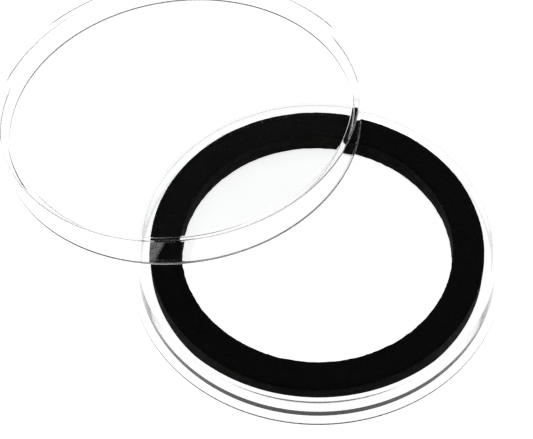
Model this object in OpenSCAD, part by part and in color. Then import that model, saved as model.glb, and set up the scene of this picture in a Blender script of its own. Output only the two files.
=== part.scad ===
// Clear coin capsule, shown open: a round base half lies flat and holds a black foam ring,
// and the lid half leans on its wall, open side down, with its far edge on the table.
// The origin is the centre of the base's underside and +Z is up.

/* [Capsule] */
// Outer diameter of both halves
outer_d = 50; // [49.5:0.1:52]

/* [Base shell] */
// Thickness of the base's round floor
floor_t = 1.15; // [0.8:0.05:1.5]
// Thickness of the flange outside the wall, which the closed lid stands on
flange_t = 0.55; // [0.45:0.05:0.7]
// Thickness of the thin wall round the foam ring
wall_t = 0.6; // [0.45:0.05:0.8]
// Height of that wall above the floor
wall_h = 3.05; // [2.9:0.05:3.6]

/* [Foam ring] */
// Thickness of the foam ring
ring_t = 3; // [2.5:0.1:3.1]
// Outer diameter of the ring, which lies loosely inside the wall
ring_d = 44.4; // [43:0.1:45]
// Diameter of the ring's hole, which is the coin's size
hole_d = 36; // [20:0.5:40]

/* [Lid shell] */
// Thickness of the lid's straight wall
lid_wall_t = 0.95; // [0.8:0.05:1.3]
// Thickness of the lid's flat face
face_t = 0.6; // [0.5:0.05:1.2]
// Space that the closed lid leaves above the base's wall
headroom = 0.65; // [0.1:0.05:1]

/* [Lid at rest] */
// Distance between the two halves' centres, seen from above
lid_offset = 28.3; // [27.5:0.1:32]
// Direction from the base's centre to the lid's, counted from +X
lid_turn = 130; // [0:0.5:359]

/* [Hidden] */
$fn = 120;

seat_gap = 0.02;    // under the foam ring
lid_gap = 0.15;     // round the base's wall, inside the closed lid
lead_in = 0.2;      // chamfer where the lid slides over the wall
table_gap = 0.05;   // under the lid's lowest edge
lean_gap = 0.08;    // between the leaning lid and the top of the wall
edge_r = 0.12;      // radius on the thin edges
lid_edge_r = 0.2;   // radius round the lid's face
clear = [0.93, 0.96, 0.97, 0.4];
foam_black = [0.03, 0.03, 0.03];

outer_r = outer_d / 2;
lid_inner_r = outer_r - lid_wall_t;
wall_r = lid_inner_r - lid_gap;
wall_inner_r = wall_r - wall_t;
wall_top = floor_t + wall_h;
lid_h = wall_top - flange_t + headroom + face_t;

// The lid's mouth rests on the base's wall where the two circles cross, seen from above.
// Its underside rises from the table, past its centre, to that crossing.
crossing = (lid_offset ^ 2 + wall_r ^ 2 - lid_inner_r ^ 2) / (2 * lid_offset);
lid_lean = atan((wall_top + lean_gap) / (lid_offset + outer_r - crossing));

// Points of a quarter-circle edge round centre c, from angle a0 counterclockwise
function edge(c, r, a0) = [for (i = [0:4]) let (a = a0 + 22.5 * i) [c.x + r * cos(a), c.y + r * sin(a)]];

// Flat floor with a thin wall round it, and a thinner flange outside the wall
module base_shell() {
    color(clear) rotate_extrude() polygon(concat(
        [[0, 0]],
        edge([outer_r - edge_r, edge_r], edge_r, -90),
        edge([outer_r - edge_r, flange_t - edge_r], edge_r, 0),
        [[wall_r, flange_t]],
        edge([wall_r - edge_r, wall_top - edge_r], edge_r, 0),
        edge([wall_inner_r + edge_r, wall_top - edge_r], edge_r, 90),
        [[wall_inner_r, floor_t], [0, floor_t]]
    ));
}

// Die-cut ring that lies inside the wall and grips the coin by the edge
module foam_ring() {
    color(foam_black) translate([0, 0, floor_t + seat_gap]) difference() {
        cylinder(h = ring_t, d = ring_d);
        translate([0, 0, -1]) cylinder(h = ring_t + 2, d = hole_d);
    }
}

// Shallow cap with its mouth down: a flat face and one straight wall
module lid_cap() {
    rotate_extrude() polygon(concat(
        [[0, lid_h - face_t], [lid_inner_r, lid_h - face_t]],
        [[lid_inner_r, lead_in], [lid_inner_r + lead_in, 0]],
        edge([outer_r - edge_r, edge_r], edge_r, -90),
        edge([outer_r - lid_edge_r, lid_h - lid_edge_r], lid_edge_r, 0),
        [[0, lid_h]]
    ));
}

// The cap as it lies: far edge on the table, near side up on the base's wall
module lid_shell() {
    color(clear)
        rotate([0, 0, lid_turn])
            translate([lid_offset, 0, table_gap + outer_r * sin(lid_lean)])
                rotate([0, lid_lean, 0])
                    lid_cap();
}

base_shell();
foam_ring();
lid_shell();
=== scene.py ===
# %% [markdown]
# # A clear coin capsule
#
# A coin capsule keeps one coin between two clear acrylic halves. Inside the lower half sits
# a black foam ring that grips the coin by its edge. Here the capsule is open and empty: the
# base lies flat, and the lid leans on it. Three pieces are made: the base, the ring and the
# lid. The CAD model fixes their places and sizes, and these pieces give them their looks.

# %% Load the frame
import math

import bpy
from mathutils import Matrix, Vector


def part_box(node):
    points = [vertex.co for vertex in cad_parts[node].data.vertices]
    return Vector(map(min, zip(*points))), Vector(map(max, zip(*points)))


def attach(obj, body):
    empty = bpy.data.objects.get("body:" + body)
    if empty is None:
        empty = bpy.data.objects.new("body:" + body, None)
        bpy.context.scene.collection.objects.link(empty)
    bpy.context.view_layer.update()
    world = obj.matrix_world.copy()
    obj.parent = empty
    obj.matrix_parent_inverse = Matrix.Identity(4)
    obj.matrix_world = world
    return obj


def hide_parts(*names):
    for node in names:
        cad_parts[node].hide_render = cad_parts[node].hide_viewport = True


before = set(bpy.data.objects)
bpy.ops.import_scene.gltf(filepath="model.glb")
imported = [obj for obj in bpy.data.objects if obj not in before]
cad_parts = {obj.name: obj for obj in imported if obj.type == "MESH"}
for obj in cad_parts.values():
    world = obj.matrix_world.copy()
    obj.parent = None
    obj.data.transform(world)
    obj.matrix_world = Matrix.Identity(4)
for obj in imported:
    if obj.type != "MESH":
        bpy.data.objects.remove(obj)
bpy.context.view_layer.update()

# %% [markdown]
# ## Measures
#
# The mould's few sizes are written in millimetres, because such a small part is drawn in
# them, and a helper turns them into metres. Everything else is worked out from these.
# The lid's lean comes from what it rests on: its far edge lies on the table, and its mouth
# lies on the top of the base's thin wall, where the two circles cross.

# %% Measures
MM = 0.001
SIDES = 384

OUTER_R = 25.0
FLANGE_T = 0.55
FLOOR_T = 1.15
WALL_TOP = FLOOR_T + 3.05
WALL_T = 0.6
RING_SEAT = FLOOR_T + 0.02
RING_TOP = RING_SEAT + 3.0
RING_R = 22.2
HOLE_R = 18.0
LID_INNER_R = 24.05
LID_FACE_T = 0.6
LID_H = WALL_TOP - FLANGE_T + 0.65 + LID_FACE_T
WALL_R = LID_INNER_R - 0.15
LID_OFFSET = 28.3
LID_TURN = math.radians(130)
LEAN_GAP = 0.08
TABLE_GAP = 0.05

crossing = (LID_OFFSET**2 + WALL_R**2 - LID_INNER_R**2) / (2 * LID_OFFSET)
lid_lean = math.atan((WALL_TOP + LEAN_GAP) / (LID_OFFSET + OUTER_R - crossing))
print(f"the lid leans {math.degrees(lid_lean):.2f} degrees")

# %% [markdown]
# ## Helpers for edit mode
#
# An operator acts on all that is selected, so each step starts by deselecting everything
# and then picks faces or edges by where they are. On a round part, an edge is named best by
# the circle that it lies on: its radius and its height.

# %% Helpers
def only(piece):
    """Selects this one object and makes it the active one."""
    if bpy.context.mode != "OBJECT":
        bpy.ops.object.mode_set(mode="OBJECT")
    bpy.ops.object.select_all(action="DESELECT")
    piece.select_set(True)
    bpy.context.view_layer.objects.active = piece


def edit(piece, kind):
    """Opens the piece in edit mode with nothing selected, to pick faces or edges."""
    only(piece)
    bpy.ops.object.mode_set(mode="EDIT")
    bpy.ops.mesh.select_mode(type=kind)
    bpy.ops.mesh.select_all(action="DESELECT")
    bpy.ops.object.mode_set(mode="OBJECT")


def disc(name, radius, height, sides=SIDES, low=0.0):
    """Adds a round slab that stands at the height low, all in millimetres."""
    bpy.ops.object.select_all(action="DESELECT")
    bpy.ops.mesh.primitive_cylinder_add(
        vertices=sides, radius=radius * MM, depth=height * MM, location=(0, 0, (low + height / 2) * MM)
    )
    piece = bpy.context.active_object
    piece.name = name
    piece.data.name = name
    bpy.ops.object.transform_apply(location=True, rotation=True, scale=True)
    return piece


def pick_cap(piece, height, up):
    """Selects the flat faces at a height that look up or down, and opens edit mode."""
    edit(piece, "FACE")
    for face in piece.data.polygons:
        level = abs(face.center.z / MM - height) < 0.01
        face.select = level and face.normal.z * up > 0.9 and face.center.to_2d().length < 0.5 * MM
    bpy.ops.object.mode_set(mode="EDIT")


def step(inset, rise):
    """Insets the picked cap and lifts or sinks what is left of it."""
    bpy.ops.mesh.inset(thickness=inset * MM, depth=0)
    bpy.ops.mesh.extrude_region_move(TRANSFORM_OT_translate={"value": (0, 0, rise * MM)})


def round_edge(piece, radius, height, size, segments):
    """Bevels the circle of edges at this radius and height."""
    edit(piece, "EDGE")
    points = piece.data.vertices
    found = 0
    for edge in piece.data.edges:
        ends = [points[i].co / MM for i in edge.vertices]
        edge.select = all(
            abs(p.to_2d().length - radius) < 0.02 and abs(p.z - height) < 0.01 for p in ends
        )
        found += edge.select
    bpy.ops.object.mode_set(mode="EDIT")
    bpy.ops.mesh.bevel(offset=size * MM, segments=segments, affect="EDGES")
    bpy.ops.object.mode_set(mode="OBJECT")
    print(f"{piece.name}: bevelled {found} edges at radius {radius} and height {height}")


def polish(piece, angle=35):
    """Shades a moulded piece smooth, with the big flat faces kept truly flat."""
    only(piece)
    bpy.ops.object.shade_smooth_by_angle(angle=math.radians(angle))
    bpy.ops.object.modifier_add(type="WEIGHTED_NORMAL")
    normals = piece.modifiers[-1]
    normals.mode = "FACE_AREA"
    normals.weight = 100
    normals.keep_sharp = True
    bpy.ops.object.modifier_apply(modifier=normals.name)


# %% [markdown]
# ## The base
#
# The base is moulded in one shot: a round floor, a thin wall round it that the lid slides
# over, and outside the wall a thinner flange, which the closed lid stands on. It could be a
# spun outline, but steps on a slab follow the mould more closely: inset, lift, inset, sink.
# Each edge is then bevelled. The bevels are tiny, but they are what shows on clear plastic,
# because flat faces let everything through and only the edges catch or bend the light.

# %% The base's steps
base = disc("base_acrylic", OUTER_R, FLANGE_T)
pick_cap(base, FLANGE_T, up=1)
step(OUTER_R - WALL_R, WALL_TOP - FLANGE_T)
step(WALL_T, FLOOR_T - WALL_TOP)
bpy.ops.object.mode_set(mode="OBJECT")
print(f"base_acrylic has {len(base.data.polygons)} faces after its steps")

# %% The base's edges
RIM_UNDER_EDGE = 0.18
RIM_EDGE = 0.2
WALL_TOP_EDGE = 0.08
WALL_FOOT = 0.1

round_edge(base, OUTER_R, 0, RIM_UNDER_EDGE, 4)
round_edge(base, OUTER_R, FLANGE_T, RIM_EDGE, 5)
round_edge(base, WALL_R, FLANGE_T, WALL_FOOT, 3)
round_edge(base, WALL_R, WALL_TOP, WALL_TOP_EDGE, 3)
round_edge(base, WALL_R - WALL_T, WALL_TOP, WALL_TOP_EDGE, 3)
round_edge(base, WALL_R - WALL_T, FLOOR_T, WALL_FOOT, 3)
polish(base)

# %% [markdown]
# ## The lid
#
# The lid is a shallow cap, moulded in the same acrylic. It is made lying straight at the
# origin, mouth down, because insets and bevels are simple there, and it is leaned only when
# it is finished. The lean and the place are applied to the mesh, so that its object sits at
# the origin like every other piece.

# %% The lid's shape
LID_EDGE = 0.2
MOUTH_LEAD_IN = 0.2
LID_INNER_CORNER = 0.15

lid = disc("lid_acrylic", OUTER_R, LID_H)
pick_cap(lid, 0, up=-1)
step(OUTER_R - LID_INNER_R, LID_H - LID_FACE_T)
bpy.ops.object.mode_set(mode="OBJECT")
round_edge(lid, OUTER_R, 0, LID_EDGE, 5)
round_edge(lid, LID_INNER_R, 0, MOUTH_LEAD_IN, 3)
round_edge(lid, OUTER_R, LID_H, LID_EDGE, 5)
round_edge(lid, LID_INNER_R, LID_H - LID_FACE_T, LID_INNER_CORNER, 3)
polish(lid)

# %% Lean the lid
only(lid)
lid.matrix_world = (
    Matrix.Rotation(LID_TURN, 4, "Z")
    @ Matrix.Translation((LID_OFFSET * MM, 0, (TABLE_GAP + OUTER_R * math.sin(lid_lean)) * MM))
    @ Matrix.Rotation(lid_lean, 4, "Y")
)
bpy.ops.object.transform_apply(location=True, rotation=True, scale=True)
low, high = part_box("lid_shell")
mine = [v.co for v in lid.data.vertices]
for axis, name in enumerate("xyz"):
    gap = [min(p[axis] for p in mine) - low[axis], max(p[axis] for p in mine) - high[axis]]
    print(f"lid against the CAD lid along {name}: {gap[0] / MM:+.2f} and {gap[1] / MM:+.2f} mm")

# %% [markdown]
# ## The foam ring
#
# The ring is cut with a die from a sheet of closed-cell foam. Its faces are the sheet's own
# skin, finely pitted, and the cut wall of the hole is a little uneven, because foam gives
# under the blade. A slab gets its hole by insetting both faces and bridging the two circles.
# Three displacements then roughen it: fine pits and a slow swell on its free faces, and a
# wave round the hole.

# %% The ring's shape
RING_SIDES = 160
RING_CUT_R = RING_R - 0.02

ring = disc("ring_foam", RING_CUT_R, RING_TOP - RING_SEAT, RING_SIDES, RING_SEAT)
for height, up in ((RING_SEAT, -1), (RING_TOP, 1)):
    pick_cap(ring, height, up)
    bpy.ops.mesh.inset(thickness=(RING_CUT_R - HOLE_R) * MM, depth=0)
    bpy.ops.object.mode_set(mode="OBJECT")
edit(ring, "FACE")
for face in ring.data.polygons:
    face.select = face.center.to_2d().length < 0.5 * MM
bpy.ops.object.mode_set(mode="EDIT")
bpy.ops.mesh.bridge_edge_loops()
bpy.ops.object.mode_set(mode="OBJECT")
print(f"ring_foam has {len(ring.data.polygons)} faces with its hole through")

# %% Soft corners and a finer grid
FOAM_EDGE = 0.16
LONG_EDGE = 1.5

for radius in (RING_CUT_R, HOLE_R):
    for height in (RING_SEAT, RING_TOP):
        round_edge(ring, radius, height, FOAM_EDGE, 2)
edit(ring, "EDGE")
points = ring.data.vertices
for edge in ring.data.edges:
    a, b = (points[i].co for i in edge.vertices)
    edge.select = (a - b).length > LONG_EDGE * MM
bpy.ops.object.mode_set(mode="EDIT")
bpy.ops.mesh.subdivide(number_cuts=5)
bpy.ops.object.mode_set(mode="OBJECT")
only(ring)
bpy.ops.object.modifier_add(type="SUBSURF")
ring.modifiers[-1].levels = 2
ring.modifiers[-1].render_levels = 2
bpy.ops.object.modifier_apply(modifier=ring.modifiers[-1].name)
print(f"ring_foam has {len(ring.data.polygons)} faces on its finer grid")

# %% Pits in the foam and the uneven cut
free = ring.vertex_groups.new(name="free_faces")
cut = ring.vertex_groups.new(name="cut_wall")
for v in ring.data.vertices:
    r = v.co.to_2d().length / MM
    high_enough = min(1.0, max(0.0, (v.co.z / MM - RING_SEAT - 0.3) / 0.3))
    free.add([v.index], high_enough, "REPLACE")
    cut.add([v.index], min(1.0, max(0.0, (HOLE_R + 0.5 - r) / 0.5)), "REPLACE")
for name, kind, size, strength, group in (
    ("foam_pits", "VORONOI", 0.45, 0.035, "free_faces"),
    ("foam_swell", "CLOUDS", 2.5, 0.06, "free_faces"),
    ("cut_wave", "CLOUDS", 1.1, 0.16, "cut_wall"),
):
    texture = bpy.data.textures.new(name, kind)
    texture.noise_scale = size * MM
    only(ring)
    bpy.ops.object.modifier_add(type="DISPLACE")
    push = ring.modifiers[-1]
    push.texture = texture
    push.strength = strength * MM
    push.mid_level = 0.5
    push.vertex_group = group
    bpy.ops.object.modifier_apply(modifier=push.name)
bpy.ops.object.shade_smooth()
ring.vertex_groups.clear()
print(f"ring_foam: z from {min(v.co.z for v in ring.data.vertices) / MM:.2f} mm")

# %% [markdown]
# ## Materials
#
# Clear acrylic bends light a little less than window glass. Its surface is as smooth as the
# polished mould, apart from a very slow ripple, where the plastic shrank as it cooled, and
# patches of faint haze from handling. Lamps shine through it as through thin clear sheet, so
# a mix of a glass shader and a see-through one for lamp rays keeps its shadows pale.

# %% Node helpers
def new_material(name):
    """A material with nodes, its tree, its main shader and its output."""
    material = bpy.data.materials.new(name)
    material.use_nodes = True
    tree = material.node_tree
    return material, tree, tree.nodes["Principled BSDF"], tree.nodes["Material Output"]


def noise(tree, scale, detail=2.0):
    """A noise pattern on object coordinates; scale is repeats in a metre."""
    place = tree.nodes.new("ShaderNodeTexCoord")
    pattern = tree.nodes.new("ShaderNodeTexNoise")
    pattern.inputs["Scale"].default_value = scale
    pattern.inputs["Detail"].default_value = detail
    tree.links.new(place.outputs["Object"], pattern.inputs["Vector"])
    return pattern.outputs["Fac"]


def ramp(tree, source, stops):
    """A colour ramp over source; stops are (position, grey or colour)."""
    node = tree.nodes.new("ShaderNodeValToRGB")
    steps = node.color_ramp.elements
    while len(steps) < len(stops):
        steps.new(0.5)
    for place, (position, colour) in zip(steps, stops):
        place.position = position
        place.color = (*((colour,) * 3 if isinstance(colour, float) else colour), 1)
    tree.links.new(source, node.inputs["Fac"])
    return node.outputs["Color"]


# %% Clear acrylic
ACRYLIC_IOR = 1.49
HAZE_SCALE = 900
RIPPLE_SCALE = 160


def clear_acrylic(name, tint):
    """Moulded acrylic that lamp rays pass straight through."""
    material, tree, shader, output = new_material(name)
    shader.inputs["Base Color"].default_value = (*tint, 1)
    shader.inputs["Transmission Weight"].default_value = 1.0
    shader.inputs["IOR"].default_value = ACRYLIC_IOR
    haze = ramp(tree, noise(tree, HAZE_SCALE, 4), [(0.45, 0.0), (0.75, 0.02)])
    tree.links.new(haze, shader.inputs["Roughness"])
    bump = tree.nodes.new("ShaderNodeBump")
    bump.inputs["Strength"].default_value = 0.05
    bump.inputs["Distance"].default_value = 0.02 * MM
    tree.links.new(noise(tree, RIPPLE_SCALE, 1), bump.inputs["Height"])
    tree.links.new(bump.outputs["Normal"], shader.inputs["Normal"])
    lamps = tree.nodes.new("ShaderNodeLightPath")
    clear = tree.nodes.new("ShaderNodeBsdfTransparent")
    mix = tree.nodes.new("ShaderNodeMixShader")
    tree.links.new(lamps.outputs["Is Shadow Ray"], mix.inputs[0])
    tree.links.new(shader.outputs[0], mix.inputs[1])
    tree.links.new(clear.outputs[0], mix.inputs[2])
    tree.links.new(mix.outputs[0], output.inputs["Surface"])
    return material


ACRYLIC_TINT = (0.992, 0.996, 0.996)
for piece in (base, lid):
    piece.data.materials.clear()
    piece.data.materials.append(clear_acrylic(piece.name, ACRYLIC_TINT))
print("clear acrylic on", base.name, "and", lid.name)

# %% [markdown]
# The foam is dyed black right through. Each cell is a pit with a slightly paler rim, and the
# fine skin between the cells has no gloss. The pattern has two sizes: cells of a quarter of
# a millimetre, and a soft mottling from how the sheet was rolled. The upright walls get a
# paler, warmer copy of the same foam: painted light on the faces that look sideways.

# %% Black foam
CELL_SCALE = 3800
MOTTLE_SCALE = 500


def black_foam(name, low, high):
    """Closed-cell foam between its darkest and its palest colour."""
    material, tree, shader, _ = new_material(name)
    place = tree.nodes.new("ShaderNodeTexCoord")
    cells = tree.nodes.new("ShaderNodeTexVoronoi")
    cells.inputs["Scale"].default_value = CELL_SCALE
    tree.links.new(place.outputs["Object"], cells.inputs["Vector"])
    mottle = noise(tree, MOTTLE_SCALE, 6)
    colour = tree.nodes.new("ShaderNodeMix")
    colour.data_type = "RGBA"
    colour.inputs["Factor"].default_value = 0.5
    tree.links.new(
        ramp(tree, cells.outputs["Distance"], [(0.1, low), (0.8, high)]), colour.inputs["A"]
    )
    tree.links.new(ramp(tree, mottle, [(0.3, low), (0.75, high)]), colour.inputs["B"])
    tree.links.new(colour.outputs["Result"], shader.inputs["Base Color"])
    tree.links.new(
        ramp(tree, cells.outputs["Distance"], [(0.0, 0.98), (1.0, 0.8)]), shader.inputs["Roughness"]
    )
    shader.inputs["Specular IOR Level"].default_value = 0.12
    bump = tree.nodes.new("ShaderNodeBump")
    bump.inputs["Strength"].default_value = 0.6
    bump.inputs["Distance"].default_value = 0.06 * MM
    tree.links.new(cells.outputs["Distance"], bump.inputs["Height"])
    tree.links.new(bump.outputs["Normal"], shader.inputs["Normal"])
    return material


ring.data.materials.clear()
# The second material is the same foam painted paler and warmer: painted light for the upright walls.
for name, low, high in (
    ("foam_skin", (0.0012, 0.0014, 0.0013), (0.0035, 0.0036, 0.0034)),
    ("foam_side_painted_light", (0.004, 0.0035, 0.003), (0.011, 0.009, 0.0075)),
):
    ring.data.materials.append(black_foam(name, low, high))
# Faces that stand upright, the hole's cut wall and the outer rim, take the paler copy: painted light
# on the sides.
for face in ring.data.polygons:
    face.material_index = int(abs(face.normal.z) < 0.6)

# %% [markdown]
# ## Riding on the bodies
#
# Each finished piece takes the place of its CAD node and moves with that node's body.

# %% Ride and replace
for piece, body, node, slot in (
    (base, "base", "base_shell", "clear_acrylic"),
    (ring, "ring", "foam_ring", "black_foam"),
    (lid, "lid", "lid_shell", "clear_acrylic"),
):
    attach(piece, body)
    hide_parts(node)
    print(f"{piece.name} rides on {body} in place of {node}")

# %% [markdown]
# ## Floor and light
#
# Clear plastic shows what is around it, not itself. The floor is a light table: a white sheet
# that glows a little from below, so that nothing on it throws a shadow. A broad lamp hangs
# overhead, and the surroundings stay dark, so the bevels, which look sideways into them, turn
# into thin dark lines. Only the sweep behind the capsule is bright, and there they fade.

# %% Floor
TABLE_GLOW = 1.0
FLOOR_ALBEDO = 0.9

bpy.ops.object.select_all(action="DESELECT")
bpy.ops.mesh.primitive_plane_add(size=6, location=(0, 0, -0.01 * MM))
floor = bpy.context.active_object
floor.name = "floor"
paper, tree, shader, _ = new_material("paper_floor")
shader.inputs["Base Color"].default_value = (FLOOR_ALBEDO, FLOOR_ALBEDO, FLOOR_ALBEDO, 1)
shader.inputs["Roughness"].default_value = 1.0
shader.inputs["Specular IOR Level"].default_value = 0.0
shader.inputs["Emission Color"].default_value = (1, 1, 1, 1)
shader.inputs["Emission Strength"].default_value = TABLE_GLOW
floor.data.materials.append(paper)

# %% Lamps and surroundings
LAMP_SIZE = 0.5
LAMP_BRIGHTNESS = 0.8
LAMP_HEIGHT = 0.5
DIM = 0.01
SWEEP = 1.0
WORLD_STRENGTH = 1.5
BOUNCES = 24


def softbox(name, size, brightness, direction, distance):
    """A square lamp that faces the capsule from this direction."""
    lamp = bpy.data.lights.new(name, "AREA")
    lamp.shape = "SQUARE"
    lamp.size = size
    lamp.energy = brightness * math.pi * size**2
    place = bpy.data.objects.new(name, lamp)
    bpy.context.scene.collection.objects.link(place)
    away = Vector(direction).normalized()
    place.location = away * distance
    place.rotation_euler = away.to_track_quat("Z", "Y").to_euler()


softbox("overhead_softbox", LAMP_SIZE, LAMP_BRIGHTNESS, (0, 0, 1), LAMP_HEIGHT)

world = bpy.data.worlds.new("dim_studio")
world.use_nodes = True
tree = world.node_tree
direction = tree.nodes.new("ShaderNodeTexCoord")
axes = tree.nodes.new("ShaderNodeSeparateXYZ")
tree.links.new(direction.outputs["Generated"], axes.inputs[0])
behind = ramp(tree, axes.outputs["Y"], [(0.1, DIM), (0.6, SWEEP)])
above = ramp(tree, axes.outputs["Z"], [(0.4, 1.0), (0.6, 0.0)])
blend = tree.nodes.new("ShaderNodeMix")
blend.data_type = "RGBA"
blend.inputs["A"].default_value = (DIM, DIM, DIM, 1)
tree.links.new(above, blend.inputs["Factor"])
tree.links.new(behind, blend.inputs["B"])
tree.links.new(blend.outputs["Result"], tree.nodes["Background"].inputs["Color"])
tree.nodes["Background"].inputs["Strength"].default_value = WORLD_STRENGTH
scene = bpy.context.scene
scene.world = world
scene.view_settings.view_transform = "Standard"
scene.cycles.max_bounces = BOUNCES
scene.cycles.transmission_bounces = BOUNCES
scene.cycles.caustics_refractive = False
scene.cycles.caustics_reflective = False

# %% [markdown]
# ## Camera
#
# The camera looks down steeply from the front, through a long lens, so that the circles
# turn into ellipses with hardly any perspective. Its target is the point of the table in
# the middle of the view.

# %% Camera
ELEVATION = math.radians(54.904)
ROLL = math.radians(-0.948)
LENS_PER_WIDTH = 2100 / 533
SENSOR = 36.0
DISTANCE = 281.443
TARGET_RIGHT = -6.719
TARGET_UP = 5.481

forward = Vector((0, math.cos(ELEVATION), -math.sin(ELEVATION)))
right = Vector((1, 0, 0))
up = right.cross(forward)
turned_right = math.cos(ROLL) * right + math.sin(ROLL) * up
turned_up = math.cos(ROLL) * up - math.sin(ROLL) * right
camera_data = bpy.data.cameras.new("camera")
camera_data.sensor_width = SENSOR
camera_data.lens = SENSOR * LENS_PER_WIDTH
camera = bpy.data.objects.new("camera", camera_data)
scene.collection.objects.link(camera)
aim = turned_right * TARGET_RIGHT + turned_up * TARGET_UP
place = (aim - forward * DISTANCE) * MM + Vector((0, 0, FLANGE_T * MM))
turn = Matrix((turned_right, turned_up, -forward)).transposed().to_4x4()
camera.matrix_world = Matrix.Translation(place) @ turn
scene.camera = camera
print(f"lens {camera_data.lens:.0f} mm, {DISTANCE:.0f} mm from the capsule")
